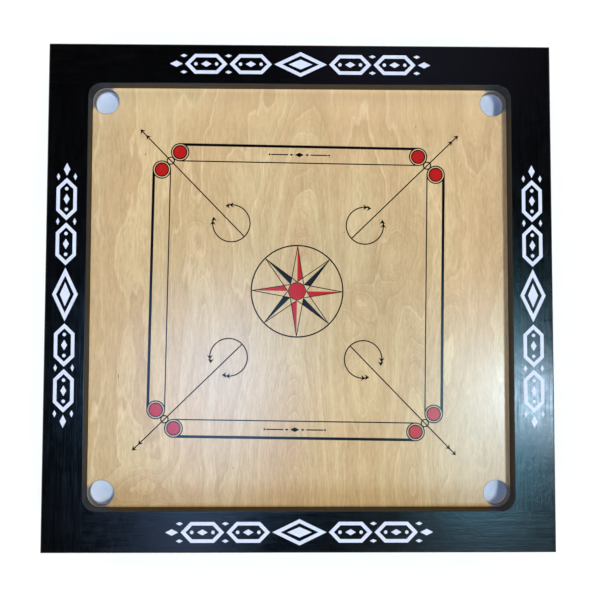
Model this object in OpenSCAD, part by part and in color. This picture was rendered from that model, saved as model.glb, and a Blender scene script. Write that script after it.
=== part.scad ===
// Carrom board: a lacquered plywood panel held in four lapped wooden rails, stiffened by
// battens underneath, with a net pouch below each corner pocket and a printed court on top.
// The origin is the middle of the footprint, at the level the board rests on.
// +Z is up, +X is right and the front player sits at -Y.  All lengths are in millimetres.

/* [Panel] */
// Side of the square playing area, between the inner walls of the rails
play_side = 736.6; // [600:0.1:900]
// Thickness of the plywood panel
panel_t = 12; // [9:0.5:20]
// Margin of the panel that lies in the rebates of the rails
panel_margin = 20; // [14:1:30]
// Gap between the panel's edge and the bottom of each rebate
panel_gap = 0.5; // [0.2:0.1:1.5]

/* [Rails] */
// Width of a rail, seen from above
rail_w = 70; // [58:1:100]
// Height of a rail's inner wall above the panel
wall_h = 22; // [18:0.5:30]
// Space under the panel, down to the level the board rests on
under_h = 26; // [20:0.5:40]
// Radius of the outer edges and corners of the frame
outer_ease = 2.5; // [0.5:0.1:6]
// Radius of the inner top edges, along the walls
wall_ease = 1; // [0.3:0.1:2]
// Gap at each lap joint between two rails, and round each corner block
lap_gap = 0.1; // [0.05:0.05:0.3]

/* [Pockets] */
// Diameter of a corner pocket's hole
pocket_d = 44.5; // [38:0.5:56]
// Width of the panel left between a pocket's hole and each wall
pocket_rim = 1.75; // [1:0.25:4]
// Distance from a pocket's centre at which the corner block starts, along each wall
block_start = 4; // [2:0.5:8]
// Thickness of the net's fabric
net_t = 1.2; // [0.8:0.1:2]
// Width of the net's band that is tacked under the panel
net_band = 8.6; // [8:0.1:12]
// How far the net's belly stands out past the hole
net_belly = 2.6; // [2:0.1:6]
// Distance from the tacks' heads down to the net's widest part
net_shoulder = 1.5; // [1:0.1:8]
// Gap between the net and what it lies against
net_gap = 0.3; // [0.2:0.1:0.6]
// Height of the net's lowest point above the level the board rests on
net_lift = 16; // [1:0.5:18]
// Number of tacks round each net
tack_count = 8; // [6:1:12]

/* [Battens] */
// Width of a batten
batten_w = 45; // [30:1:60]
// Height of the battens above the level the board rests on
batten_lift = 2; // [0:0.5:6]
// Distance of each batten's middle line from the middle of the board
batten_off = 150; // [110:1:180]
// Depth of the housing in a rail that takes a batten's end
batten_housing = 25; // [15:1:28]
// Gap on each side of a batten, in its housings and crossings
wood_gap = 0.15; // [0.1:0.05:0.4]

/* [Screws] */
// Radius of a screw's shank
screw_r = 2; // [1.5:0.1:2.5]
// Radius of a screw's countersunk head
screw_head_r = 4; // [3.5:0.1:5]
// Depth of a screw's head, and of its countersink
screw_sink = 2.4; // [2:0.1:3]
// Gap round a screw in its hole
screw_gap = 0.05; // [0.02:0.01:0.1]
// Length of a panel screw's part that is in the rail
panel_bite = 14; // [8:1:15]
// Length of a batten screw's part that is in the panel or the rail
batten_bite = 8; // [5:0.5:8]
// Length of a corner screw's part that is in the upper rail
corner_bite = 14; // [8:1:15]
// Distance of a panel screw from a batten's side
panel_screw_off = 18; // [8:1:40]
// Distance of the last panel screw from the end of a wall
panel_screw_end = 92; // [80:1:110]
// Nearer distance of a corner screw from the two outer faces
corner_screw_a = 15; // [10:1:20]
// Farther distance of a corner screw from the two outer faces
corner_screw_b = 34; // [26:1:38]

/* [Court] */
// Thickness of the printed ink
ink_t = 0.1; // [0.05:0.05:0.3]
// Sideways distance of the print from the middle of the panel, as this board has it
print_dx = -5; // [-8:0.5:8]
// Distance of the print towards the back, as this board has it
print_dy = 7.7; // [-8:0.1:8]
// Turn of the print, anticlockwise in degrees
print_turn = -0.82; // [-1.5:0.02:1.5]
// Distance from the ideal place of a wall to the middle of the thick base line
base_line_in = 111.1; // [90:0.1:125]
// Width of the thick base line
base_line_w = 4.8; // [3:0.1:7]
// Distance between the middles of the thick and the thin base line
base_lane = 29.4; // [24:0.1:34]
// Width of the thin lines
thin_w = 2; // [0.6:0.1:2.4]
// Distance from the end of a base line's straight part to the thick line beside it
base_end_in = 45.6; // [40:0.1:60]
// Radius of the red disc in a base circle
base_red_r = 10.8; // [9:0.1:12]
// Width of the dark ring round the red disc
base_dark_w = 2; // [0.6:0.1:2.2]
// Distance from a pocket's centre to the tip of its arrow
arrow_tip = 86.9; // [70:0.1:120]
// Length of an arrow, from its arc to its tip
arrow_l = 265.9; // [200:0.1:280]
// Distance between the two heads at the tip of an arrow
arrow_head_gap = 14.6; // [8:0.1:20]
// Length of an arrowhead
head_l = 8; // [4:0.1:9]
// Width of an arrowhead
head_w = 10.4; // [6:0.1:12]
// Length of an arrowhead's solid middle
head_core = 5.2; // [2:0.1:7]
// Distance from an arrow's tip to the middle of its small circle
small_circle_back = 78; // [60:0.1:90]
// Radius of the small circle that the arrow passes through
small_circle_r = 6.3; // [4:0.1:8]
// Radius of the arc at the back of an arrow
arc_r = 33; // [24:0.5:40]
// Angle from the arrow to the near head of its arc, in degrees
arc_open = 37.4; // [30:0.1:50]
// Angle between the two heads at an end of the arc, in degrees
arc_head_step = 12; // [10:0.5:18]

/* [Centre] */
// Radius of the large centre circle's line
centre_r = 80.75; // [70:0.25:90]
// Width of the large centre circle's line
centre_w = 2.3; // [1:0.1:3]
// Radius of the star's points
star_tip = 79.3; // [60:0.1:85]
// Radius of the star's valleys, half way between two points of one layer
star_valley = 16.4; // [16:0.1:24]
// Width of the star's outline
star_w = 1.4; // [0.5:0.1:1.8]
// Radius of the red disc in the middle
queen_r = 14.6; // [12:0.1:16]
// Width of the dark ring round the middle disc
queen_w = 1.2; // [0.6:0.1:1.6]

/* [Ornament] */
// Length of the ornament on a rail
orn_l = 455; // [380:1:500]
// Height of the ornament's middle lozenge
orn_mid_h = 44; // [30:1:50]
// Length of the ornament's middle lozenge
orn_mid_l = 92; // [60:1:110]
// Height of the ornament's long hexagons
orn_hex_h = 35; // [26:1:42]
// Length of the slanting part at each end of a hexagon
orn_point = 17; // [10:1:22]
// Width of the ornament's bands
orn_w = 6; // [4:0.5:8]
// Gap between neighbours in the ornament
orn_gap = 4; // [2:0.5:8]
// Length of the small lozenge at each end of the ornament
orn_tip_l = 22; // [12:1:30]
// Radius of the ornament's beads
orn_bead_r = 3; // [2:0.5:4]
// Length of the small ornament printed in two of the lanes
lane_orn_l = 100; // [60:1:140]

/* [Hidden] */

$fn = 96;
half_play = play_side / 2;
half_out = half_play + rail_w;
half_rebate = half_play + panel_margin;
half_panel = half_rebate - panel_gap;
face_z = under_h + panel_t;
top_z = face_z + wall_h;
eps = 1;

pocket_r = pocket_d / 2;
pocket_in = pocket_r + pocket_rim;
pocket_at = half_play - pocket_in;

batten_t = under_h - batten_lift;
batten_end = half_rebate + batten_housing;
rail_mid = half_play + rail_w / 2;
panel_screw_l = panel_t + panel_bite;
batten_screw_l = batten_t + batten_bite;
corner_screw_l = face_z + corner_bite;

// A net's top, its neck inside the tacks' heads and the level where its belly starts
net_top = under_h - net_gap;
tack_r = 0.8;
tack_head_r = 2.4;
tack_head_t = 1;
tack_l = 9;
net_neck_in = pocket_r + 0.65;
net_neck_out = net_neck_in + net_t;
net_band_r = pocket_r + net_band;
tack_ring_r = net_neck_out + net_gap + tack_head_r;
tack_z = net_top - net_t - net_gap - tack_head_t;
net_belly_top = tack_z - net_gap;
net_belly_z = net_belly_top - net_shoulder;
net_belly_r = pocket_r + net_belly;

// The court's own measures from its centre, along the diagonals for the arrows
base_line_at = half_play - base_line_in;
thin_line_at = base_line_at - base_lane;
base_end_at = base_line_at - base_end_in;
base_ring_r = (base_lane + base_line_w / 2 + thin_w / 2) / 2;
base_circle_at = thin_line_at - thin_w / 2 + base_ring_r;
arrow_tip_at = pocket_at * sqrt(2) - arrow_tip;
arrow_back_at = arrow_tip_at - arrow_l;
arc_at = arrow_back_at + arc_r;

// Distances of the panel screws from the middle of a wall
panel_screws_at = [for (side = [-1, 1], s = [
    batten_off - batten_w / 2 - panel_screw_off,
    batten_off + batten_w / 2 + panel_screw_off,
    half_play - panel_screw_end]) side * s];
// Distances of the batten screws from the middle of a batten
batten_screws_at = [-(batten_off + pocket_at) / 2, 0, (batten_off + pocket_at) / 2];

// ---------- placing ----------

// Children drawn for the front side, turned to side number k: front, right, back, left
module to_side(k) {
    rotate(90 * k) children();
}

module on_sides() {
    for (k = [0:3]) to_side(k) children();
}

// Children drawn round a pocket's centre, with the board's corner towards +X and -Y
module to_pocket(k) {
    to_side(k) translate([pocket_at, -pocket_at, 0]) children();
}

// Children drawn flat on the court's own centre, printed on the panel
module printed() {
    translate([print_dx, print_dy, face_z]) rotate(print_turn)
        linear_extrude(height = ink_t) children();
}

// ---------- fasteners ----------

// A countersunk screw that points up, its head's flat at z = 0
module screw(length) {
    difference() {
        union() {
            cylinder(r1 = screw_head_r, r2 = screw_r, h = screw_sink);
            cylinder(r = screw_r, h = length - 2 * screw_r);
            translate([0, 0, length - 2 * screw_r])
                cylinder(r1 = screw_r, r2 = 0.3, h = 2 * screw_r);
        }
        for (a = [0, 90])
            rotate(a) translate([-screw_head_r * 0.6, -0.5, -eps])
                cube([screw_head_r * 1.2, 1, eps + screw_sink * 0.6]);
    }
}

// The hole that the screw fits, open below its head
module screw_hole(length) {
    translate([0, 0, -eps]) cylinder(r = screw_head_r + screw_gap, h = eps);
    cylinder(r1 = screw_head_r + screw_gap, r2 = screw_r + screw_gap, h = screw_sink);
    cylinder(r = screw_r + screw_gap, h = length + 2 * screw_gap);
}

module panel_screw_places() {
    for (x = concat([0], panel_screws_at))
        translate([x, -(half_play + panel_margin / 2), under_h]) children();
}

module batten_end_screw_places() {
    for (side = [-1, 1])
        translate([side * batten_off, -(half_rebate + batten_housing / 2), batten_lift])
            children();
}

// The two screws at the corner to the right of a side
module corner_screw_places() {
    for (p = [[corner_screw_a, corner_screw_b], [corner_screw_b, corner_screw_a]])
        translate([half_out - p[0], p[1] - half_out, 0]) children();
}

// Screws along the battens that run from left to right, and through the crossings
module cross_batten_screw_places() {
    for (y = [-batten_off, batten_off])
        for (x = concat(batten_screws_at, [-batten_off, batten_off]))
            translate([x, y, batten_lift]) children();
}

// Screws along the battens that run from front to back
module long_batten_screw_places() {
    for (x = [-batten_off, batten_off], y = batten_screws_at)
        translate([x, y, batten_lift]) children();
}

module tack_places() {
    for (i = [0:tack_count - 1])
        rotate(360 * (i + 0.5) / tack_count) translate([tack_ring_r, 0, tack_z]) children();
}

module tack() {
    cylinder(r = tack_head_r, h = tack_head_t);
    cylinder(r = tack_r, h = tack_l - 2 * tack_r);
    translate([0, 0, tack_l - 2 * tack_r]) cylinder(r1 = tack_r, r2 = 0.2, h = 2 * tack_r);
}

// ---------- woodwork ----------

// What is cut off a square edge to ease it with a radius, the edge at the origin
module edge_cut(radius) {
    difference() {
        translate([-radius, -radius]) square(radius + eps);
        translate([-radius, -radius]) circle(radius);
    }
}

// The whole frame's outer block with its top edges and upright corners eased
module eased_block() {
    difference() {
        translate([-half_out, -half_out, 0]) cube([2 * half_out, 2 * half_out, top_z]);
        on_sides() {
            translate([-half_out - eps, -half_out, top_z])
                rotate([90, 0, 90])
                    linear_extrude(height = 2 * half_out + 2 * eps)
                        mirror([1, 0]) edge_cut(outer_ease);
            translate([half_out, -half_out, -eps])
                linear_extrude(height = top_z + 2 * eps) rotate(-90) edge_cut(outer_ease);
        }
    }
}

// One rail, drawn at the front: its upper half covers the corner on its right and its
// lower half runs under the rail on its left
module rail() {
    color([0.06, 0.06, 0.07])
    difference() {
        intersection() {
            eased_block();
            union() {
                translate([lap_gap - half_play, -half_out, face_z])
                    cube([half_play + half_rebate - lap_gap, rail_w, wall_h]);
                translate([half_rebate - eps, -half_out, face_z + lap_gap])
                    cube([rail_w - panel_margin + eps, rail_w, wall_h - lap_gap]);
                translate([-half_out, -half_out, 0])
                    cube([half_out + half_rebate - lap_gap, rail_w - panel_margin, face_z]);
            }
        }
        // The wall's top edge, eased as far as the corner blocks
        translate([-pocket_at - block_start, -half_play, top_z])
            rotate([90, 0, 90])
                linear_extrude(height = 2 * (pocket_at + block_start)) edge_cut(wall_ease);
        // Housings for the battens' ends, open below
        for (side = [-1, 1])
            translate([side * batten_off - batten_w / 2 - wood_gap,
                       -batten_end - wood_gap, -eps])
                cube([batten_w + 2 * wood_gap, batten_housing + wood_gap + eps,
                      under_h + eps]);
        panel_screw_places() screw_hole(panel_screw_l);
        batten_end_screw_places() screw_hole(batten_screw_l);
        corner_screw_places() screw_hole(corner_screw_l);
        to_side(-1) corner_screw_places() screw_hole(corner_screw_l);
    }
}

// The block that rounds a corner of the walls, concentric with the pocket
module corner_block() {
    color([0.06, 0.06, 0.07])
    translate([0, 0, face_z])
    difference() {
        translate([block_start, lap_gap - pocket_in, 0])
            cube([pocket_in - lap_gap - block_start, pocket_in - lap_gap - block_start,
                  wall_h]);
        translate([0, 0, -eps]) cylinder(r = pocket_in, h = wall_h + 2 * eps);
        translate([0, 0, wall_h])
            rotate_extrude() translate([pocket_in, 0]) mirror([1, 0, 0])
                edge_cut(wall_ease);
    }
}

// The plywood panel with its four pocket holes
module play_panel() {
    color([0.84, 0.72, 0.53])
    difference() {
        translate([-half_panel, -half_panel, under_h])
            cube([2 * half_panel, 2 * half_panel, panel_t]);
        for (k = [0:3]) {
            to_pocket(k) translate([0, 0, under_h - eps])
                cylinder(r = pocket_r, h = panel_t + 2 * eps);
            to_pocket(k) tack_places()
                cylinder(r = tack_r + screw_gap, h = tack_l + screw_gap);
            to_side(k) panel_screw_places() screw_hole(panel_screw_l);
        }
        cross_batten_screw_places() screw_hole(batten_screw_l);
        long_batten_screw_places() screw_hole(batten_screw_l);
    }
}

// A batten from left to right, halved on its upper side where the others cross
module cross_batten(y) {
    color([0.72, 0.58, 0.40])
    difference() {
        translate([wood_gap - batten_end, y - batten_w / 2, batten_lift])
            cube([2 * (batten_end - wood_gap), batten_w, batten_t]);
        for (x = [-batten_off, batten_off])
            translate([x - batten_w / 2 - wood_gap, y - batten_w / 2 - eps,
                       batten_lift + batten_t / 2])
                cube([batten_w + 2 * wood_gap, batten_w + 2 * eps, batten_t]);
        cross_batten_screw_places() screw_hole(batten_screw_l);
        for (k = [1, 3]) to_side(k) batten_end_screw_places() screw_hole(batten_screw_l);
    }
}

// A batten from front to back, halved on its lower side where the others cross
module long_batten(x) {
    color([0.72, 0.58, 0.40])
    difference() {
        translate([x - batten_w / 2, wood_gap - batten_end, batten_lift])
            cube([batten_w, 2 * (batten_end - wood_gap), batten_t]);
        for (y = [-batten_off, batten_off])
            translate([x - batten_w / 2 - eps, y - batten_w / 2 - wood_gap,
                       batten_lift - batten_t / 2 + wood_gap])
                cube([batten_w + 2 * eps, batten_w + 2 * wood_gap, batten_t]);
        cross_batten_screw_places() screw_hole(batten_screw_l);
        long_batten_screw_places() screw_hole(batten_screw_l);
        for (k = [0, 2]) to_side(k) batten_end_screw_places() screw_hole(batten_screw_l);
    }
}

// A point of the net's rounded bowl, a degrees below its widest part
function net_bowl(a, inset) = [(net_belly_r - inset) * cos(a),
    net_belly_z - (net_belly_z - net_lift - inset) * sin(a)];

// A net pouch: a band tacked under the panel, a neck and a round bowl
module net() {
    color([0.86, 0.89, 0.95])
    difference() {
        rotate_extrude() polygon(concat(
            [[net_neck_in, net_top], [net_band_r, net_top], [net_band_r, net_top - net_t],
             [net_neck_out, net_top - net_t], [net_neck_out, net_belly_top]],
            [for (a = [0:15:90]) net_bowl(a, 0)],
            [for (a = [90:-15:0]) net_bowl(a, net_t)],
            [[net_neck_in, net_belly_top]]));
        tack_places() cylinder(r = tack_r + net_gap, h = tack_l);
    }
}

// ---------- printed shapes ----------

// A line of width w from p to q
module stroke(p, q, w) {
    d = q - p;
    translate(p) rotate(atan2(d[1], d[0]))
        translate([0, -w / 2]) square([norm(d), w]);
}

// A circle's line of width w
module ring(r, w) {
    difference() {
        circle(r + w / 2);
        circle(r - w / 2);
    }
}

// An arrowhead that points along +X, its tip at the origin
module arrowhead() {
    polygon([[0, 0], [-head_l, head_w / 2], [-head_core, 0], [-head_l, -head_w / 2]]);
}

// Children drawn round the middle of each of the front player's two base circles
module base_circle_places() {
    for (side = [-1, 1]) translate([side * base_end_at, -base_circle_at]) children();
}

// The two base lines of the front player, and the rings of the circles they join
module base_lines_2d() {
    difference() {
        union() {
            stroke([-base_end_at, -base_line_at], [base_end_at, -base_line_at],
                   base_line_w);
            stroke([-base_end_at, -thin_line_at], [base_end_at, -thin_line_at], thin_w);
        }
        base_circle_places() circle(base_ring_r - thin_w / 2);
    }
    base_circle_places() {
        ring(base_ring_r - thin_w / 2, thin_w);
        ring(base_red_r + base_dark_w / 2, base_dark_w);
    }
}

// The arrow of the front right corner with its small circle, its arc and their heads
module corner_arrow_2d() {
    difference() {
        rotate(-45) arrow_along_x_2d();
        base_circle_places() circle(base_ring_r);
        rotate(90) base_circle_places() circle(base_ring_r);
    }
}

module arrow_along_x_2d() {
    head_turn = 45;
    stroke([arrow_back_at, 0], [arrow_tip_at - head_core, 0], thin_w);
    for (x = [0, arrow_head_gap]) translate([arrow_tip_at - x, 0]) arrowhead();
    translate([arrow_tip_at - small_circle_back, 0]) ring(small_circle_r, thin_w);
    translate([arc_at, 0]) {
        difference() {
            ring(arc_r, thin_w);
            polygon([[0, 0], 2 * arc_r * [cos(arc_open), -sin(arc_open)],
                     [3 * arc_r, 0], 2 * arc_r * [cos(arc_open), sin(arc_open)]]);
        }
        near = arc_r * [cos(arc_open), sin(arc_open)];
        far = arc_r * [cos(arc_open - arc_head_step), sin(arc_open - arc_head_step)];
        for (m = [0, 1]) mirror([0, m]) {
            stroke(near, far - head_core * [cos(head_turn), -sin(head_turn)], thin_w);
            for (tip = [near, far]) translate(tip) rotate(-head_turn) arrowhead();
        }
    }
}

// One layer of the star: four long points, the first along +X turned by a
module star_layer(a) {
    polygon([for (i = [0:7])
        (i % 2 == 0 ? star_tip : star_valley) * [cos(a + 45 * i), sin(a + 45 * i)]]);
}

// The outline of one layer of the star, outside the middle disc
module star_layer_line(a) {
    for (i = [0:3], s = [-45, 45]) {
        tip = star_tip * [cos(a + 90 * i), sin(a + 90 * i)];
        valley = star_valley * [cos(a + 90 * i + s), sin(a + 90 * i + s)];
        stroke(valley, tip, star_w);
    }
}

module star_lines_2d() {
    difference() {
        union() {
            star_layer_line(0);
            star_layer_line(45);
        }
        circle(queen_r + queen_w / 2);
    }
    ring(queen_r + queen_w / 2, queen_w);
    ring(centre_r, centre_w);
}

// The filled halves of one layer's points, on the clockwise side, clear of the lines
module star_fill_2d(a) {
    fill_tip = star_tip - 2 * star_w;
    difference() {
        for (i = [0:3])
            polygon([[0, 0], fill_tip * [cos(a + 90 * i), sin(a + 90 * i)],
                     star_valley * [cos(a + 90 * i - 45), sin(a + 90 * i - 45)]]);
        star_layer(a + 45);
        star_layer_line(a);
        star_layer_line(a + 45);
        circle(queen_r + queen_w);
    }
}

module lozenge(l, h) {
    polygon([[-l, 0], [0, -h], [l, 0], [0, h]]);
}

// A long hexagon with its points on the X axis, p the length of a slanting part
module hexagon(l, h, p) {
    polygon([[-l, 0], [p - l, -h], [l - p, -h], [l, 0], [l - p, h], [p - l, h]]);
}

// A hexagon's outline of width w; with p = l it is a lozenge's
module hexagon_line(l, h, p, w) {
    inner_h = p == l ? h * (1 - w * norm([l, h]) / (l * h)) : h - w;
    difference() {
        hexagon(l, h, p);
        hexagon(l - w * norm([p, h]) / h, inner_h, p * inner_h / h);
    }
}

// A rule, a lozenge and a rule, in the lane between two base lines
module lane_ornament_2d() {
    lozenge(8, 4);
    for (side = [-1, 1]) {
        translate([side * 14, 0]) lozenge(3, 2);
        stroke([side * 20, 0], [side * lane_orn_l / 2, 0], thin_w);
        translate([side * (lane_orn_l / 2 + 3), 0]) circle(1.6);
    }
}

// The ornament of a rail: a chain of long hexagons on each side of a large lozenge, with
// beads inside them, small lozenges at their joints and one at each end
module rail_ornament_2d() {
    mid_x = orn_mid_l / 2;
    hex_l = (orn_l / 2 - mid_x - orn_tip_l - 3 * orn_gap) / 4;
    joint_y = (orn_hex_h - orn_w) / 2;
    hexagon_line(mid_x, orn_mid_h / 2, mid_x, orn_w);
    lozenge(mid_x * 0.45, orn_mid_h * 0.2);
    for (side = [-1, 1]) {
        for (i = [0, 1])
            translate([side * (mid_x + orn_gap + hex_l + i * (2 * hex_l + orn_gap)), 0]) {
                hexagon_line(hex_l, orn_hex_h / 2, orn_point, orn_w);
                lozenge(3 * orn_bead_r, 1.7 * orn_bead_r);
                for (bead = [-1, 1]) translate([bead * 6 * orn_bead_r, 0])
                    circle(orn_bead_r);
                for (up = [-1, 1]) translate([side * (hex_l + orn_gap / 2), up * joint_y])
                    lozenge(2 * orn_bead_r, orn_bead_r);
            }
        translate([side * (orn_l - orn_tip_l) / 2, 0])
            lozenge(orn_tip_l / 2, orn_tip_l / 4);
    }
}

module rail_ornament(k) {
    color([0.88, 0.90, 0.96])
    to_side(k) translate([0, -rail_mid, top_z])
        linear_extrude(height = ink_t) rail_ornament_2d();
}

// ---------- nodes ----------

play_panel();

to_side(0) rail();  // rail_front
to_side(1) rail();  // rail_right
to_side(2) rail();  // rail_back
to_side(3) rail();  // rail_left

to_pocket(0) corner_block();  // corner_block_front_right
to_pocket(1) corner_block();  // corner_block_back_right
to_pocket(2) corner_block();  // corner_block_back_left
to_pocket(3) corner_block();  // corner_block_front_left

cross_batten(-batten_off);  // batten_front
cross_batten(batten_off);  // batten_back
long_batten(-batten_off);  // batten_left
long_batten(batten_off);  // batten_right

to_pocket(0) net();  // net_front_right
to_pocket(1) net();  // net_back_right
to_pocket(2) net();  // net_back_left
to_pocket(3) net();  // net_front_left

color("silver") on_sides() panel_screw_places() screw(panel_screw_l);  // panel_screws
color("silver") {  // batten_screws
        cross_batten_screw_places() screw(batten_screw_l);
        long_batten_screw_places() screw(batten_screw_l);
    }
color("silver") on_sides() batten_end_screw_places() screw(batten_screw_l);  // batten_end_screws
color("silver") on_sides() corner_screw_places() screw(corner_screw_l);  // corner_screws
color("silver") for (k = [0:3]) to_pocket(k) tack_places() tack();  // net_tacks

color([0.08, 0.07, 0.07]) printed() on_sides() base_lines_2d();  // base_lines
color([0.78, 0.15, 0.16]) printed() on_sides() base_circle_places() circle(base_red_r);  // base_discs
color([0.08, 0.07, 0.07]) printed() on_sides() corner_arrow_2d();  // corner_arrows
color([0.08, 0.07, 0.07]) printed() star_lines_2d();  // star_outlines
color([0.09, 0.09, 0.13]) printed() star_fill_2d(45);  // star_dark_fills
color([0.78, 0.15, 0.16]) printed() star_fill_2d(0);  // star_red_fills
color([0.78, 0.15, 0.16]) printed() circle(queen_r);  // centre_disc
color([0.08, 0.07, 0.07]) printed()  // lane_ornaments
        for (side = [-1, 1])
            translate([0, side * (base_line_at + thin_line_at) / 2]) lane_ornament_2d();

rail_ornament(0);  // rail_ornament_front
rail_ornament(1);  // rail_ornament_right
rail_ornament(2);  // rail_ornament_back
rail_ornament(3);  // rail_ornament_left
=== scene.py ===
import math

import bpy
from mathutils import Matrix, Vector


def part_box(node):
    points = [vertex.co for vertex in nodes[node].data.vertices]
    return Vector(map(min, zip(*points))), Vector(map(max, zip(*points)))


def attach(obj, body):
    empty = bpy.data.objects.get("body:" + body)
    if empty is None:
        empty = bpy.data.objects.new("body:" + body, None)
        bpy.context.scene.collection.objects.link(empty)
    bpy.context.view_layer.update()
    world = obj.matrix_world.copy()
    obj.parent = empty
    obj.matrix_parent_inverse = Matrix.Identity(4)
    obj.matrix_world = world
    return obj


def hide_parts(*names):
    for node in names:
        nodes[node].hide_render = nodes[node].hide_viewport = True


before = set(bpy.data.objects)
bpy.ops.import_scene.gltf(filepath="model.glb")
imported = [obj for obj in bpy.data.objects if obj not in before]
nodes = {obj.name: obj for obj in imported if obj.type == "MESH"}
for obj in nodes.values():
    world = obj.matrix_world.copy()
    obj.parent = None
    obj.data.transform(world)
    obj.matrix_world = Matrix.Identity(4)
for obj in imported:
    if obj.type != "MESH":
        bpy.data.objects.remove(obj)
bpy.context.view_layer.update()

bpy.ops.object.select_all(action="DESELECT")
SIDES = ("front", "right", "back", "left")
CORNERS = ("front_right", "back_right", "back_left", "front_left")
MM = 0.001

# The board's own measures, in metres, read from the frame
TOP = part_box("rail_front")[1].z
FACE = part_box("play_panel")[1].z
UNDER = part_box("play_panel")[0].z
HALF_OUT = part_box("rail_right")[1].x
RAIL_W = 70 * MM
POCKET_IN = 24 * MM
HALF_PLAY = HALF_OUT - RAIL_W
POCKET_AT = HALF_PLAY - POCKET_IN


# ---------- camera, light and floor ----------

# The camera's distance from the board's middle along x and y, and above the panel's face
CAMERA_OFF = (-0.01007, -0.04267)
CAMERA_UP = 0.98504
CAMERA_TURN = (0.03522, -0.01051, 0.00236)
CAMERA_LENS = 33.564
CAMERA_SENSOR = 36


def put_camera():
    """The camera hangs over the middle of the board and looks almost straight down."""
    view = bpy.data.cameras.new("camera")
    view.lens = CAMERA_LENS
    view.sensor_width = CAMERA_SENSOR
    camera = bpy.data.objects.new("camera", view)
    camera.location = (*CAMERA_OFF, FACE + CAMERA_UP)
    camera.rotation_euler = CAMERA_TURN
    bpy.context.scene.collection.objects.link(camera)
    bpy.context.scene.camera = camera


class Wire:
    """A number, vector or colour on its way through a finish."""

    def __init__(self, tree, socket):
        self.tree = tree
        self.socket = socket

    def calc(self, operation, other=None):
        """One sum on this number, and on another one where the sum takes two."""
        node = self.tree.nodes.new("ShaderNodeMath")
        node.operation = operation
        feed(self.tree, self, node.inputs[0])
        if other is not None:
            feed(self.tree, other, node.inputs[1])
        return Wire(self.tree, node.outputs[0])

    def __add__(self, other):
        return self.calc("ADD", other)

    def __sub__(self, other):
        return self.calc("SUBTRACT", other)

    def __mul__(self, other):
        return self.calc("MULTIPLY", other)

    def __truediv__(self, other):
        return self.calc("DIVIDE", other)

    def __neg__(self):
        return self.calc("MULTIPLY", -1.0)

    def size(self):
        """The number without its sign."""
        return self.calc("ABSOLUTE")

    def wave(self):
        """Runs between 0 and 1, once up and once down for each whole number."""
        return (self * (2 * math.pi)).calc("SINE") * 0.5 + 0.5

    def saw(self):
        """Climbs from 0 to 1 between whole numbers, then drops back."""
        return self.calc("FRACT")

    def fade(self, low, high, from_value=0.0, to_value=1.0):
        """Goes smoothly from one value to the other between low and high."""
        node = self.tree.nodes.new("ShaderNodeMapRange")
        node.interpolation_type = "SMOOTHSTEP"
        for slot, value in zip(node.inputs, (self, low, high, from_value, to_value)):
            feed(self.tree, value, slot)
        return Wire(self.tree, node.outputs[0])

    def split(self):
        """The x, y and z parts of a vector."""
        node = self.tree.nodes.new("ShaderNodeSeparateXYZ")
        feed(self.tree, self, node.inputs[0])
        return [Wire(self.tree, out) for out in node.outputs]


def feed(tree, value, slot):
    """Joins a wire to a socket, or sets the socket's own value."""
    if isinstance(value, Wire):
        tree.links.new(value.socket, slot)
    elif slot.type == "RGBA":
        slot.default_value = (*value, 1.0)
    else:
        slot.default_value = value


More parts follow.
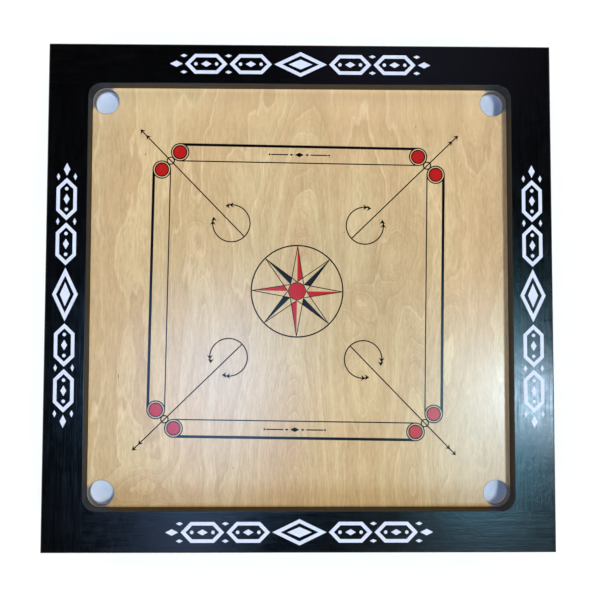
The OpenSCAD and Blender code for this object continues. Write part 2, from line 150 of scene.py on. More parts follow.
class Finish:
    """A node tree for one finish, with the few tools that this board's finishes need."""

    def __init__(self, name, tree=None):
        if tree is None:
            self.material = bpy.data.materials.new(name)
            self.material.use_nodes = True
            tree = self.material.node_tree
            self.shader = tree.nodes["Principled BSDF"]
        self.tree = tree

    def add(self, kind, out=0, put=None, **settings):
        """A new node with its settings and inputs; gives the wire from one of its outputs."""
        node = self.tree.nodes.new("ShaderNode" + kind)
        for key, value in settings.items():
            setattr(node, key, value)
        for key, value in (put or {}).items():
            feed(self.tree, value, node.inputs[key])
        return Wire(self.tree, node.outputs[out])

    def place(self):
        """Where a point is on the board, in metres."""
        return self.add("TexCoord", "Object")

    def sheet_place(self):
        """Where a point is on an unrolled sheet."""
        return self.add("TexCoord", "UV")

    def facing(self):
        """How much the surface faces up, from -1 to 1."""
        return self.add("NewGeometry", "Normal").split()[2]

    def vector(self, x, y, z=0.0):
        """A vector from its three parts."""
        return self.add("CombineXYZ", put={0: x, 1: y, 2: z})

    def stretch(self, where, scale, at=(0, 0, 0), turn=0.0):
        """Coordinates measured from a point, turned and scaled."""
        moved = self.add("VectorMath", operation="SUBTRACT", put={0: where, 1: at})
        if turn:
            moved = self.add("VectorRotate", rotation_type="Z_AXIS",
                             put={"Vector": moved, "Angle": -turn})
        return self.add("VectorMath", operation="MULTIPLY", put={0: moved, 1: scale})

    def noise(self, where, scale, detail=2.0, roughness=0.5, distortion=0.0, at=(0, 0, 0)):
        """Smooth noise, its scale in cycles a metre along x, y and z."""
        return self.add("TexNoise", put={
            "Vector": self.stretch(where, scale, at), "Scale": 1.0, "Detail": detail,
            "Roughness": roughness, "Distortion": distortion})

    def cells(self, where, scale):
        """Distance to the nearest of many scattered points."""
        return self.add("TexVoronoi", put={
            "Vector": self.stretch(where, scale), "Scale": 1.0, "Randomness": 1.0})

    def hill(self, where, at, size, turn=0.0):
        """A smooth hump: 1 at its middle, 0 at a distance of size along x and y."""
        near = self.stretch(where, (1 / size[0], 1 / size[1], 1), at, turn)
        far = self.add("VectorMath", "Value", operation="LENGTH", put={0: near})
        return far.fade(0.0, 1.0, 1.0, 0.0)

    def mix(self, share, first, second):
        """The first colour where the share is 0, the second where it is 1."""
        node = self.tree.nodes.new("ShaderNodeMix")
        node.data_type = "RGBA"
        for slot, value in zip((0, 6, 7), (share, first, second)):
            feed(self.tree, value, node.inputs[slot])
        return Wire(self.tree, node.outputs[2])

    def shade(self, colour, strength):
        """The colour made darker or lighter by a number."""
        return self.add("VectorMath", operation="SCALE", put={0: colour, "Scale": strength})

    def done(self, colour, roughness, height=None, depth=0.0, **settings):
        """Joins the wires to the shader. Height is in units of depth, in metres."""
        feed(self.tree, colour, self.shader.inputs["Base Color"])
        feed(self.tree, roughness, self.shader.inputs["Roughness"])
        for key, value in settings.items():
            socket = key.replace("_", " ").title().replace("Ior", "IOR")
            self.shader.inputs[socket].default_value = value
        if height is not None:
            bump = self.add("Bump", put={"Height": height, "Distance": depth, "Strength": 1.0})
            feed(self.tree, bump, self.shader.inputs["Normal"])
        return self.material


def srgb(red, green, blue):
    """A colour as seen on a screen, 0 to 255, made linear."""
    def linear(c):
        c /= 255
        return c / 12.92 if c <= 0.04045 else ((c + 0.055) / 1.055) ** 2.4
    return (linear(red), linear(green), linear(blue))


# Soft bright patches of the sky: slopes from straight up, reach, lean and light
SKY_PATCHES = (
    ((0.455, -0.146), (0.150, 0.080), -0.41, (17.0, 22.0, 27.0)),
    ((0.335, -0.155), (0.165, 0.290), 0.0, (2.2, 5.9, 8.0)),
    ((-0.135, -0.11), (0.22, 0.26), 0.0, (2.2, 4.7, 8.8)),
    ((0.32, -0.44), (0.30, 0.24), 0.0, (0.38, 0.47, 0.60)),
    ((-0.19, -0.42), (0.15, 0.30), 0.0, (0.55, 0.80, 1.40)),
    ((0.22, 0.48), (0.34, 0.26), 0.0, (0.14, 0.14, 0.24)),
)
SKY_TOP = (0.010, 0.010, 0.012)
SKY_SIDE = (1.12, 0.98, 0.84)
SKY_EDGE = (1.0, 1.0, 1.0)
# Lower directions count as this high, so that their slopes stay small
LOWEST_RISE = 0.05
# Slopes between which the dark ceiling turns to pale wall
CEILING_END = (0.95, 1.55)
# Heights between which the white horizon turns to wall
WALL_START = (0.08, 0.22)

LAMP_ENERGY = 1.72
LAMP_WIDTH = math.radians(9)
LAMP_COLOUR = (1.0, 0.96, 0.85)
LAMP_FROM = Vector((0.37, -0.07, 1.0))

FLOOR_R = 30
FLOOR_GLOW = 0.16
FLOOR_WHITES = ((0.90, 0.90, 0.90), (0.91, 0.91, 0.91))


def light_room():
    """A dark ceiling with soft bright patches, pale walls, and one soft lamp at the right."""
    world = bpy.data.worlds.new("room")
    world.use_nodes = True
    bpy.context.scene.world = world
    sky = Finish("room", world.node_tree)
    x, y, z = sky.add("TexCoord", "Generated").split()
    rise = z.calc("MAXIMUM", LOWEST_RISE)
    slope = sky.vector(x / rise, y / rise)
    tilt = sky.add("VectorMath", "Value", operation="LENGTH", put={0: slope})
    light = sky.mix(tilt.fade(*CEILING_END), SKY_TOP, SKY_SIDE)
    for at, reach, lean, glow in SKY_PATCHES:
        patch = sky.hill(slope, (*at, 0), reach, lean)
        light = sky.add("VectorMath", operation="ADD", put={0: light, 1: sky.shade(glow, patch)})
    light = sky.mix(z.fade(*WALL_START), SKY_EDGE, light)
    # A camera that looks past the floor sees white, without more light on the board
    light = sky.mix(sky.add("LightPath", "Is Camera Ray"), light, SKY_EDGE)
    feed(sky.tree, light, world.node_tree.nodes["Background"].inputs["Color"])

    lamp = bpy.data.lights.new("soft_lamp", "SUN")
    lamp.energy = LAMP_ENERGY
    lamp.angle = LAMP_WIDTH
    lamp.color = LAMP_COLOUR
    sun = bpy.data.objects.new("soft_lamp", lamp)
    sun.rotation_euler = LAMP_FROM.to_track_quat("Z", "Y").to_euler()
    sun.visible_glossy = False
    bpy.context.scene.collection.objects.link(sun)


def lay_floor():
    """A wide white floor. Open floor shows white, and the board's shadow stays on it."""
    bpy.ops.mesh.primitive_circle_add(vertices=64, radius=FLOOR_R, fill_type="NGON")
    floor = bpy.context.object
    floor.name = "floor"
    paper = Finish("floor_white")
    seen = paper.add("LightPath", "Is Camera Ray")
    glossy = paper.add("LightPath", "Is Glossy Ray")
    clear = paper.add("LightPath", "Is Transmission Ray")
    glow = (seen + glossy + clear).calc("MINIMUM", 1.0) * FLOOR_GLOW
    mottle = paper.noise(paper.place(), (3, 3, 3))
    feed(paper.tree, glow, paper.shader.inputs["Emission Strength"])
    paper.shader.inputs["Emission Color"].default_value = (1, 1, 1, 1)
    floor.data.materials.append(paper.done(
        paper.mix(mottle, *FLOOR_WHITES), 0.9, specular_ior_level=0.0))
    floor.select_set(False)


# ---------- finishes ----------

# Rounded growth figures of the face veneer: middle, half width and half height, lean, strength
FLAMES = (
    ((0.103, -0.012), (0.040, 0.052), 0.4, 0.36),
    ((0.108, -0.150), (0.046, 0.110), 0.05, 0.34),
    ((0.180, 0.070), (0.050, 0.095), -0.35, -0.30),
    ((-0.179, 0.098), (0.026, 0.050), 0.25, 0.28),
    ((-0.165, -0.070), (0.034, 0.210), 0.03, 0.28),
    ((-0.270, -0.335), (0.150, 0.050), 0.22, 0.42),
    ((0.255, -0.120), (0.050, 0.190), -0.06, 0.28),
    ((0.170, -0.330), (0.046, 0.130), 0.0, 0.30),
)
# Arched figures, one arch within the other: top of the outermost, half width, length, strength
SPIRES = (
    ((-0.004, 0.345), 0.090, 0.29, 4.4),
    ((-0.026, -0.110), 0.125, 0.27, 4.6),
    ((0.205, -0.010), 0.055, 0.30, 2.4),
    ((-0.190, 0.120), 0.060, 0.30, 1.8),
)
# Small dark knots: middle, half width and half height
PIN_KNOTS = (
    ((-0.274, 0.250), (0.0022, 0.0040)),
    ((-0.317, -0.142), (0.0016, 0.0075)),
    ((0.078, 0.112), (0.0018, 0.0026)),
    ((0.206, 0.302), (0.0016, 0.0030)),
    ((-0.116, -0.301), (0.0014, 0.0036)),
)
# Pinker hearts of the arched figures and the knots: middle, half width and half height
HEARTS = (
    ((-0.008, 0.120), (0.040, 0.200)),
    ((-0.030, -0.300), (0.070, 0.170)),
    ((0.103, -0.012), (0.034, 0.040)),
    ((-0.176, 0.092), (0.024, 0.055)),
)
PLIES = 9
LACQUER_ROUGHNESS = 0.165
RAW_ROUGHNESS = 0.72
# How much of the wood's relief shows through the lacquer
LACQUER_RELIEF = 0.05
VENEER_DEEP = srgb(205, 180, 137)
VENEER_PALE = srgb(213, 187, 146)
# Distances from the middle between which the grain grows softer towards the back
SOFTER_GRAIN = (0.24, 0.35)
# Distances from the middle between which the face grows paler towards three walls, with a painted
# highlight line at the back wall and a browner painted shade at the near wall
BACK_MARGIN = (HALF_PLAY - 0.085, HALF_PLAY - 0.020)
# Painted highlight: a thin bright line just inside the back wall
BACK_WALL_HIGHLIGHT = (HALF_PLAY - 0.010, HALF_PLAY - 0.002)
LEFT_MARGIN = (HALF_PLAY - 0.034, HALF_PLAY - 0.006)
RIGHT_MARGIN = (HALF_PLAY - 0.040, HALF_PLAY - 0.010)
# Painted shade: the face turns darker and browner towards the near wall
NEAR_WALL_SHADE = (HALF_PLAY - 0.055, HALF_PLAY - 0.016)
NEAR_WALL_SHADE_TINT = (0.92, 0.83, 0.68)
# Slightly darker fields of the face: middle, half width and half height, strength
FIELDS = (
    ((-0.268, -0.060), (0.085, 0.330), 0.08),
    ((0.175, 0.030), (0.130, 0.280), 0.08),
    ((-0.040, -0.275), (0.330, 0.120), 0.06),
)
# Distances from a pocket's middle at which the grey ring at its edge and the grey rim towards the
# corner end
GREY_HOLE_EDGE = (0.0228, 0.0240)
GREY_CORNER_RIM = (0.0262, 0.0285)
# How far towards the frame's corner the grey rim starts, as x and y from the pocket's middle added
# up
GREY_RIM_START = (0.004, 0.016)


def ring_figure(ply, where, x, y):
    """Growth rings: level lines of a slow landscape, drawn out along y."""
    drift = ply.noise(where, (5.0, 2.2, 1), 1.0, 0.4) - 0.5
    land = ply.noise(where, (7.0, 1.4, 40), 2.0, 0.45, at=(0.13, 0.4, 0)) * 0.85
    land = land + ply.noise(where, (24, 6.0, 40), 2.0, 0.5) * 0.28 + x * 1.9 + drift * 0.5
    for at, size, turn, strength in FLAMES:
        land = land + ply.hill(where, (*at, 0), size, turn) * strength
    for (top_x, top_y), width, length, strength in SPIRES:
        drop = (-y + top_y).calc("MAXIMUM", 0.0).calc("MINIMUM", length)
        land = land + drop * (x - top_x + drift * 0.05).size().fade(0.0, width, 1.0, 0.0) * strength
    ripple = ply.noise(where, (70, 26, 60), 3.0, 0.65) - 0.5
    rings = (land * 7.6 + ripple * 0.34).saw()
    broad_rings = (land * 2.3 + ripple * 0.16).saw()
    fine = (land * 41.0 + ripple * 1.6).wave()
    return rings, broad_rings, fine


def face_tone(ply, where, x, y, vessels, cloud):
    """The face veneer's colour, without its fibres, and its finest rings."""
    rings, broad_rings, fine = ring_figure(ply, where, x, y)
    broad_band = broad_rings.fade(0.0, 0.70) * broad_rings.fade(0.94, 1.0, 1.0, 0.0)
    tongue = broad_rings.fade(0.0, 0.08) * broad_rings.fade(0.22, 0.46, 1.0, 0.0)
    tongue = tongue * ply.noise(where, (9, 3.2, 8), 1.0, 0.4, at=(0.8, 0.1, 0)).fade(0.34, 0.60)
    come_and_go = ply.noise(where, (8, 3, 8), 2.0, 0.5, at=(0.4, 0.6, 0)).fade(0.30, 0.58)
    pale_line = rings.fade(0.0, 0.05) * rings.fade(0.05, 0.17, 1.0, 0.0) * come_and_go
    late_wood = rings.fade(0.50, 0.98) * rings.fade(0.98, 1.0, 1.0, 0.0)
    smoke = ply.noise(where, (16, 4.5, 6), 3.0, 0.55, at=(0.2, 0.9, 0)).fade(0.52, 0.74)
    warm = ply.noise(where, (4, 2.5, 4), 1.0, at=(0.3, 0.1, 0)).fade(0.42, 0.66)
    middle = ply.hill(where, (0.03, 0.02, 0), (0.30, 0.34))

    tone = ply.mix(cloud.fade(0.35, 0.65), VENEER_DEEP, VENEER_PALE)
    tone = ply.mix(warm * 0.45, tone, srgb(217, 184, 143))
    tone = ply.mix(middle * 0.75, tone, srgb(198, 183, 148))
    tone = ply.mix((x + y * 0.6).fade(0.05, 0.45) * 0.55, tone, srgb(217, 183, 140))
    for at, size in HEARTS:
        tone = ply.mix(ply.hill(where, (*at, 0), size) * 0.55, tone, srgb(203, 170, 136))
    tone = ply.mix(late_wood * 0.26, tone, srgb(184, 154, 112))
    tone = ply.mix(broad_band * 0.22, tone, srgb(190, 158, 120))
    tone = ply.mix(tongue * 0.36, tone, srgb(220, 202, 158))
    tone = ply.mix(pale_line * 0.36, tone, srgb(233, 215, 178))
    tone = ply.mix(smoke * 0.26, tone, srgb(182, 150, 108))
    tone = ply.mix(vessels * 0.30, tone, srgb(160, 126, 86))
    return tone, fine


def face_margins(ply, where, x, y, tone):
    """Paler wood along three walls, a painted highlight line at the back wall, and a browner painted
    shade along the near one.
    """
    # Paler towards three walls; the second term is a painted highlight line along the back wall
    margin = y.fade(*BACK_MARGIN) * 0.16 + y.fade(*BACK_WALL_HIGHLIGHT) * 0.20
    margin = margin + (-x).fade(*LEFT_MARGIN) * 0.14 + x.fade(*RIGHT_MARGIN) * 0.08
    for at, size, strength in FIELDS:
        margin = margin - ply.hill(where, (*at, 0), size) * strength
    tone = ply.shade(tone, margin + 0.040 + 1.0)
    # Painted shade: darker and browner towards the near wall
    brown_tint = ply.mix((-y).fade(*NEAR_WALL_SHADE), (1.0, 1.0, 1.0), NEAR_WALL_SHADE_TINT)
    return ply.add("VectorMath", operation="MULTIPLY", put={0: tone, 1: brown_tint})


def back_veneer(ply, where, fibre, vessels, cloud):
    """Raw, greyer and coarser than the face."""
    back_rings = (ply.noise(where, (5, 1.3, 1), 2.0, 0.5, at=(0.9, 0.3, 0)) * 22).saw()
    raw = ply.mix(back_rings.fade(0.5, 1.0) * 0.5, srgb(186, 155, 112), srgb(150, 115, 76))
    raw = ply.mix(vessels * 0.5, raw, srgb(120, 88, 56))
    raw = ply.shade(raw, (fibre - 0.5) * 0.5 + (cloud - 0.5) * 0.3 + 1.0)
    patch = ply.noise(where, (11, 7, 11), 3.0).fade(0.60, 0.66) * 0.18
    return ply.mix(patch, raw, srgb(118, 92, 62))


def sawn_edge(ply, where, z):
    """Thin plies in turn along and across, dark glue lines, the whole edge a darkish grey."""
    layer = (z - UNDER) / (FACE - UNDER) * PLIES
    across = (layer * 0.5).saw().fade(0.48, 0.52)
    glue = (layer.saw() - 0.5).size().fade(0.40, 0.48)
    sawn = ply.mix(across, srgb(128, 124, 116), srgb(100, 95, 88))
    sawn = ply.mix(glue * 0.8, sawn, srgb(40, 33, 28))
    return ply.shade(sawn, (ply.noise(where, (260, 260, 900), 3.0) - 0.5) * 0.7 + 1.0)


def pocket_rims(ply, x, y, tone):
    """A grey ring at the holes' edges, and a grey rim between each pocket and the frame's corner."""
    off_x, off_y = x.size() - POCKET_AT, y.size() - POCKET_AT
    rim_r = (off_x * off_x + off_y * off_y).calc("SQRT")
    # A darker grey ring right at each hole's edge
    edge_mark = rim_r.fade(*GREY_HOLE_EDGE, 1.0, 0.0)
    # A grey rim between each pocket and the frame's corner
    grey_rim = rim_r.fade(*GREY_CORNER_RIM, 1.0, 0.0) * (off_x + off_y).fade(*GREY_RIM_START)
    tone = ply.mix(edge_mark * 0.55, tone, srgb(120, 114, 106))
    return ply.mix(grey_rim * 0.92, tone, srgb(130, 132, 134))


def panel_ply():
    """Birch face veneer under a clear glossy lacquer; raw wood below; dark sawn edges."""
    ply = Finish("panel_ply")
    where = ply.place()
    x, y, z = where.split()
    up = ply.facing()

    # Fibres wander a little from the straight line
    sway = (ply.noise(where, (9, 5, 1), 2.0, 0.5, at=(0.5, 0.5, 0)) - 0.5) * 0.030
    lie = ply.vector(x + sway, y, z)
    fibre = ply.noise(lie, (900, 22, 300), 3.0, 0.6)
    soft_fibre = ply.noise(lie, (190, 16, 100), 3.0, 0.65)
    flecks = ply.noise(lie, (340, 62, 200), 2.0, 0.7)
    blotch = ply.noise(lie, (70, 15, 60), 3.0, 0.6)
    vessels = ply.noise(lie, (1500, 110, 900), 1.0, 0.4).fade(0.66, 0.74)
    cloud = ply.noise(where, (6, 3, 6), 2.0, 0.5, at=(0.7, 0.2, 0))

    tone, fine = face_tone(ply, where, x, y, vessels, cloud)
    grain = (fibre - 0.5) * 0.30 + (soft_fibre - 0.5) * 0.22 + (fine - 0.5) * 0.06
    grain = grain + (flecks - 0.5) * 0.46 + (blotch - 0.5) * 0.22
    tone = ply.shade(tone, grain * y.fade(*SOFTER_GRAIN, 1.0, 0.5) + 1.0)
    for at, size in PIN_KNOTS:
        tone = ply.mix(ply.hill(where, (*at, 0), size).fade(0.2, 0.8) * 0.7,
                       tone, srgb(96, 66, 42))
    tone = pocket_rims(ply, x, y, face_margins(ply, where, x, y, tone))

    face = up.fade(0.4, 0.6)
    below = up.fade(-0.6, -0.4, 1.0, 0.0)
    raw = back_veneer(ply, where, fibre, vessels, cloud)
    colour = ply.mix(face, ply.mix(below, sawn_edge(ply, where, z), raw), tone)

    # Lacquer: smooth and clear, with faint wipe marks and the pores' slight print-through
    wiped = ply.noise(where, (35, 9, 35), 3.0, 0.6)
    scratches = ply.noise(where, (30, 1800, 30), 1.0).fade(0.70, 0.76)
    gloss = (wiped - 0.5) * 0.05 + scratches * 0.02 + LACQUER_ROUGHNESS
    roughness = face * gloss + (face - 1.0) * -RAW_ROUGHNESS
    height = fibre * 0.5 + vessels * -0.5 + soft_fibre * 0.3
    height = height * (face * LACQUER_RELIEF + (face - 1.0) * -1.0)
    return ply.done(colour, roughness, height, 0.12 * MM, specular_ior_level=0.7)


PAINT_ROUGHNESS = 0.165
PAINT_DEEP = (0.0003, 0.0003, 0.0004)
PAINT_THIN = (0.0013, 0.0014, 0.0017)
# The outer top arris, where paint wears: across the side, up to it and over it
ARRIS = (HALF_OUT - 0.0022, HALF_OUT - 0.0004)
ARRIS_LOW = (TOP - 0.0030, TOP - 0.0012)
ARRIS_HIGH = (TOP - 0.0005, TOP)


def black_paint(name, along_x):
    """Satin black paint, brushed along the rail, with slight wear at the outer arrises."""
    paint = Finish(name)
    where = paint.place()
    x, y, z = where.split()
    length, width = (14, 420) if along_x else (420, 14)
    streaks = paint.noise(where, (length, width, 420), 3.0, 0.55)
    length, width = (16, 95) if along_x else (95, 16)
    broad = paint.noise(where, (length, width, 95), 3.0, 0.6, 0.6)
    daub = paint.noise(where, (38, 38, 38), 3.0, 0.6, 1.2)
    peel = paint.noise(where, (520, 520, 520), 2.0, 0.5)
    dust = paint.noise(where, (1400, 1400, 1400), 1.0).fade(0.73, 0.78)
    dirt = paint.noise(where, (22, 22, 22), 4.0, 0.6).fade(0.45, 0.75)

    edge = x.size().calc("MAXIMUM", y.size())
    rim = z.fade(*ARRIS_LOW) * z.fade(*ARRIS_HIGH, 1.0, 0.55)
    chips = paint.noise(where, (180, 180, 180), 4.0, 0.7).fade(0.56, 0.66)
    # Paint worn at the outer top arris
    edge_mark = edge.fade(*ARRIS) * rim * chips * 0.55

    black = paint.mix(streaks, PAINT_DEEP, PAINT_THIN)
    black = paint.mix(dust * 0.25, black, srgb(120, 120, 122))
    black = paint.mix(edge_mark, black, srgb(58, 44, 34))
    raw = paint.facing().fade(-0.6, -0.4, 1.0, 0.0)
    black = paint.mix(raw * dirt * 0.4, black, srgb(64, 58, 50))
    upright = paint.facing().size().fade(0.5, 0.9, 1.0, 0.0)
    rough = (streaks - 0.5) * 0.16 + (broad + daub - 1.0) * 0.16 + PAINT_ROUGHNESS
    rough = rough + edge_mark * 0.3 + raw * 0.25 + upright * 0.45
    height = streaks * 0.36 + peel * 0.06 + broad * 0.60 + daub * 0.55
    return paint.done(black, rough, height, 0.20 * MM, specular_ior_level=0.7)


def ink(name, colour, pale, roughness=0.2, wear=0.25, along=(500, 60, 500), shine=0.5):
    """Screen-printed ink: full where it lies thick, thinner over the open grain."""
    print_ink = Finish(name)
    where = print_ink.place()
    pores = print_ink.noise(where, along, 3.0, 0.6)
    thin = pores.fade(0.60, 0.72)
    pinholes = print_ink.noise(where, (2200, 1500, 900), 1.0).fade(0.70, 0.76)
    cloud = print_ink.noise(where, (60, 60, 60), 2.0)
    tone = print_ink.mix(thin * wear, colour, pale)
    tone = print_ink.mix(pinholes * wear, tone, pale)
    tone = print_ink.shade(tone, (cloud - 0.5) * 0.22 + (pores - 0.5) * 0.12 + 1.0)
    return print_ink.done(tone, (cloud - 0.5) * 0.08 + roughness, pores, 0.03 * MM,
                          specular_ior_level=shine)


def batten_wood(name, along_x):
    """Raw softwood: straight growth lines along the length, a few knots, saw marks."""
    wood = Finish(name)
    where = wood.place()
    x, y, z = where.split()
    run, across = (x, y) if along_x else (y, x)
    lie = wood.vector(run, across, z)
    bend = wood.noise(lie, (2.2, 9, 9), 2.0) - 0.5
    knots = wood.cells(lie, (3.2, 22, 22))
    heart = knots.fade(0.10, 0.20, 1.0, 0.0)
    halo = knots.fade(0.16, 0.55, 1.0, 0.0)
    rings = (across * 150 + z * 60 + bend * 9 + halo * 2.6).saw()
    late = rings.fade(0.35, 0.92) * rings.fade(0.92, 1.0, 1.0, 0.0)
    fibre = wood.noise(lie, (22, 900, 900), 3.0, 0.6)
    tone = wood.mix(late * 0.75, srgb(214, 178, 128), srgb(172, 120, 70))
    tone = wood.mix(heart, tone, srgb(92, 52, 28))
    tone = wood.shade(tone, (fibre - 0.5) * 0.45 + bend * 0.3 + 1.0)
    # Random darker stains on the raw wood
    brown_tint = wood.noise(where, (18, 18, 18), 3.0).fade(0.58, 0.74) * 0.25
    tone = wood.mix(brown_tint, tone, srgb(120, 96, 70))
    marks = (run * 420 + bend).wave()
    return wood.done(tone, 0.78, fibre * 0.7 + late * -0.4 + marks * 0.25, 0.22 * MM)


def metal(name, bright, dull, roughness):
    """Fastener steel with turning marks and a few dull spots."""
    steel = Finish(name)
    where = steel.place()
    spots = steel.noise(where, (700, 700, 700), 4.0, 0.65)
    tone = steel.mix(spots.fade(0.48, 0.70), bright, dull)
    brushed = steel.noise(where, (300, 4000, 2600), 2.0)
    rough = (spots - 0.5) * 0.3 + (brushed - 0.5) * 0.1 + roughness
    return steel.done(tone, rough, brushed + spots, 0.03 * MM, metallic=1.0)


KNIT_COLUMNS = 104
KNIT_ROWS = 34


def net_knit():
    """White knitted nylon: columns of small V stitches that follow the pouch."""
    knit = Finish("net_cord")
    u, v, _ = knit.sheet_place().split()
    column = (u * KNIT_COLUMNS).saw() - 0.5
    half = column.size() * 2
    row = (v * KNIT_ROWS + half * 0.55).saw()
    yarn = (row * 2 - 1.0).size().fade(0.0, 1.0, 1.0, 0.0)
    side = (half - 0.5).size().fade(0.1, 0.5, 1.0, 0.0)
    stitch = yarn * 0.5 + side * 0.5
    where = knit.place()
    twist = (v * (KNIT_ROWS * 4) + half * 3).wave()
    fuzz = knit.noise(where, (2600, 2600, 2600), 3.0, 0.7)
    grime = knit.noise(where, (60, 60, 40), 3.0).fade(0.45, 0.8)
    tone = knit.mix(stitch.fade(0.15, 0.75), srgb(202, 212, 238), srgb(227, 237, 255))
    tone = knit.mix(grime * 0.18, tone, srgb(196, 196, 200))
    tone = knit.shade(tone, (fuzz - 0.5) * 0.12 + 1.0)
    height = stitch + fuzz * 0.25 + twist * 0.08
    return knit.done(tone, 0.85, height, 0.22 * MM, sheen_weight=0.25, sheen_roughness=0.5,
                     specular_ior_level=0.3)


# ---------- net pouches ----------

NET_SIDES = 96
# The pouch's middle surface, from the band's edge in and down: radius and height, in mm
NET_BAND = ((30.35, 25.10), (28.6, 25.12), (26.8, 25.16), (25.3, 25.12), (24.3, 25.0), (23.75, 24.7))
NET_NECK = ((23.5, 24.1), (23.46, 23.5), (23.6, 22.8), (23.95, 22.1))
NET_BELLY_R = 24.25
NET_BELLY_Z = 21.4
NET_BOTTOM_Z = 16.6
NET_BOWL_STEPS = 15
NET_BOWL_END = 88.5
NET_BOWL_SPACING = 0.92
NET_THICK = 0.75 * MM
WELD = 0.01 * MM
# The bottom's middle: all that is nearer to the axis than this, and how much it is drawn up
NET_TIP_R = 0.2 * MM
NET_TIP_RISE = 0.42 * MM
# The band lies above this height. It sags a little between its tacks, and its edge is uneven
NET_TACKS = 8
BAND_LOW = 24.6 * MM
BAND_SAG = 0.13
BAND_EDGE_R = 30 * MM
# Pleats and swing grow from this height down, over this much of it
HANG_HIGH = 24.4 * MM
HANG_GROWS = 2.0 * MM
# Radii inside which the bowl sags, the pleats fade, the net gathers, and the gathers fade
BOWL_R = 24 * MM
STEADY_R = 10 * MM
GATHER_R = 6 * MM
KNOT_R = 1.5 * MM


def net_profile():
    """Radius and height of the pouch's middle surface, in metres, down to its bottom."""
    bowl = []
    for step in range(NET_BOWL_STEPS):
        turn = math.radians(NET_BOWL_END * (step / (NET_BOWL_STEPS - 1)) ** NET_BOWL_SPACING)
        bowl.append((NET_BELLY_R * math.cos(turn),
                     NET_BELLY_Z - (NET_BELLY_Z - NET_BOTTOM_Z) * math.sin(turn)))
    return [(r * MM, z * MM) for r, z in (*NET_BAND, *NET_NECK, *bowl)]


def pouch(corner, number):
    """One pocket's knitted pouch, hung from its tacked band."""
    low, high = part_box("net_" + corner)
    middle = (low + high) / 2
    profile = net_profile()
    start_r, start_z = profile[0]
    bpy.ops.mesh.primitive_circle_add(
        vertices=NET_SIDES, radius=start_r, location=(middle.x, middle.y, start_z))
    net = bpy.context.object
    net.name = "pouch_" + corner
    bpy.ops.object.mode_set(mode="EDIT")
    for (r0, z0), (r1, z1) in zip(profile, profile[1:]):
        bpy.ops.mesh.extrude_edges_move(TRANSFORM_OT_translate={"value": (0, 0, z1 - z0)})
        bpy.ops.transform.resize(
            value=(r1 / r0, r1 / r0, 1), center_override=(middle.x, middle.y, z1))
    bpy.ops.mesh.edge_face_add()
    bpy.ops.mesh.poke()
    bpy.ops.mesh.select_all(action="SELECT")
    bpy.ops.mesh.remove_doubles(threshold=WELD)
    bpy.ops.mesh.normals_make_consistent(inside=False)
    bpy.ops.object.mode_set(mode="OBJECT")
    bpy.ops.object.transform_apply(location=True, rotation=True, scale=True)
    wrap_net(net, middle, profile)
    shape_net(net, middle, number)
    finish_net(net, corner)


def wrap_net(net, middle, profile):
    """Gives the pouch coordinates round it and down it, for the stitches."""
    along = [0.0]
    for a, b in zip(profile, profile[1:]):
        along.append(along[-1] + math.dist(a, b))
    total = along[-1]
    mesh = net.data
    layer = mesh.uv_layers.new(name="stitches")
    for face in mesh.polygons:
        spots = []
        for loop in face.loop_indices:
            co = mesh.vertices[mesh.loops[loop].vertex_index].co
            dx, dy = co.x - middle.x, co.y - middle.y
            r = math.hypot(dx, dy)
            place = min(range(len(profile)),
                        key=lambda i: math.dist(profile[i], (r, co.z)))
            v = along[place] / total
            u = None if r < NET_TIP_R else (math.atan2(dy, dx) / (2 * math.pi)) % 1.0
            spots.append((loop, u, v))
        known = [u for _, u, _ in spots if u is not None]
        crosses = max(known) - min(known) > 0.5
        known = [u + 1 if crosses and u < 0.5 else u for u in known]
        for loop, u, v in spots:
            if u is None:
                u, v = sum(known) / len(known), 1.0
            elif crosses and u < 0.5:
                u += 1
            layer.data[loop].uv = (u, v)


def waves(angle, *parts):
    """Waves round the pouch, added up: each part's strength, count and shift."""
    return sum(strength * math.sin(count * angle + shift) for strength, count, shift in parts)


def shape_net(net, middle, number):
    """Pleats at the neck, a soft sag, the band pressed by its tacks and the gathered bottom."""
    for vertex in net.data.vertices:
        dx, dy = vertex.co.x - middle.x, vertex.co.y - middle.y
        r, z = math.hypot(dx, dy), vertex.co.z
        angle = math.atan2(dy, dx)
        if r < NET_TIP_R:
            vertex.co.z += NET_TIP_RISE
            continue
        if z > BAND_LOW:
            press = 0.5 + 0.5 * math.cos(NET_TACKS * (angle - math.pi / NET_TACKS))
            vertex.co.z += (BAND_SAG * press - BAND_SAG) * MM
            r += waves(angle, (0.12, 48, number)) * MM * (r > BAND_EDGE_R)
        else:
            pleat = waves(angle, (0.6, 23, number), (0.4, 37, 2.1 * number), (0.5, 14, 0.7 * number))
            swing = waves(angle, (1.0, 3, 1.3 * number), (0.6, 5, number))
            hang = min(1.0, max(0.0, (HANG_HIGH - z) / HANG_GROWS))
            inward = max(0.0, 1 - r / BOWL_R)
            r += (0.14 * pleat + 0.10 * swing) * hang * MM * min(1, r / STEADY_R)
            vertex.co.z += (0.16 * pleat + 0.22 * swing) * hang * MM * (1 - inward) * 0.6
            vertex.co.z += waves(angle, (0.25, 2, number)) * MM * math.sin(math.pi * inward)
            gather = max(0.0, 1 - r / GATHER_R)
            vertex.co.z += waves(angle, (0.25, 16, number)) * MM * gather * min(1, r / KNOT_R)
            vertex.co.z += 0.30 * MM * gather ** 2
        vertex.co.x = middle.x + r * math.cos(angle)
        vertex.co.y = middle.y + r * math.sin(angle)


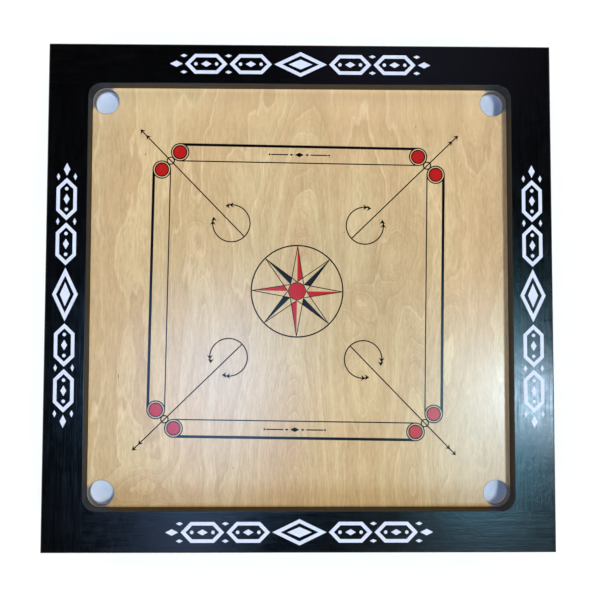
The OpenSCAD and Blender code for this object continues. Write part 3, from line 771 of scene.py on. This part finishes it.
def finish_net(net, corner):
    """Gives the pouch its thickness and finish, in place of the frame's plain one."""
    bpy.context.view_layer.objects.active = net
    wall = net.modifiers.new("wall", "SOLIDIFY")
    wall.thickness = NET_THICK
    wall.offset = 0
    wall.use_even_offset = True
    smooth = net.modifiers.new("smooth", "SUBSURF")
    smooth.levels = smooth.render_levels = 1
    for modifier in ("wall", "smooth"):
        bpy.ops.object.modifier_apply(modifier=modifier)
    bpy.ops.object.shade_smooth()
    net.data.materials.append(FINISHES["net_cord"])
    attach(net, "root")
    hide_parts("net_" + corner)
    net.select_set(False)


# ---------- the board ----------

def dress(node, finish):
    """Gives a node of the frame its finish."""
    slots = nodes[node].data.materials
    slots.clear()
    slots.append(finish)


put_camera()
light_room()
lay_floor()

FINISHES = {
    "panel_ply": panel_ply(),
    "paint_across": black_paint("black_paint_across", True),
    "paint_along": black_paint("black_paint_along", False),
    "wood_across": batten_wood("batten_wood_across", True),
    "wood_along": batten_wood("batten_wood_along", False),
    "net_cord": net_knit(),
    "screw_steel": metal("screw_steel", srgb(196, 194, 188), srgb(120, 116, 106), 0.34),
    "tack_steel": metal("tack_steel", srgb(92, 98, 116), srgb(48, 46, 50), 0.38),
    "black_ink": ink("black_ink", srgb(13, 10, 9), srgb(74, 58, 44)),
    "fine_black_ink": ink("fine_black_ink", srgb(9, 6, 5), srgb(50, 37, 28), wear=0.12, shine=0.2),
    "blue_black_ink": ink("blue_black_ink", srgb(23, 28, 35), srgb(84, 80, 80), shine=0.35),
    "red_ink": ink("red_ink", srgb(183, 26, 22), srgb(200, 84, 64), wear=0.18, shine=0.7),
    "white_ink": ink("white_ink", srgb(216, 225, 252), srgb(152, 162, 188), roughness=0.42,
                     wear=0.30, along=(300, 300, 300)),
}

dress("play_panel", FINISHES["panel_ply"])
for number, side in enumerate(SIDES):
    direction = "across" if number % 2 == 0 else "along"
    dress("rail_" + side, FINISHES["paint_" + direction])
    dress("batten_" + side, FINISHES["wood_" + direction])
    dress("rail_ornament_" + side, FINISHES["white_ink"])
for corner in CORNERS:
    dress("corner_block_" + corner, FINISHES["paint_along"])
for group in ("panel_screws", "batten_screws", "batten_end_screws", "corner_screws"):
    dress(group, FINISHES["screw_steel"])
dress("net_tacks", FINISHES["tack_steel"])
dress("base_lines", FINISHES["black_ink"])
for print_node in ("corner_arrows", "star_outlines", "lane_ornaments"):
    dress(print_node, FINISHES["fine_black_ink"])
dress("star_dark_fills", FINISHES["blue_black_ink"])
for print_node in ("base_discs", "star_red_fills", "centre_disc"):
    dress(print_node, FINISHES["red_ink"])

for number, corner in enumerate(CORNERS):
    pouch(corner, number)

bpy.context.scene.view_settings.view_transform = "Standard"
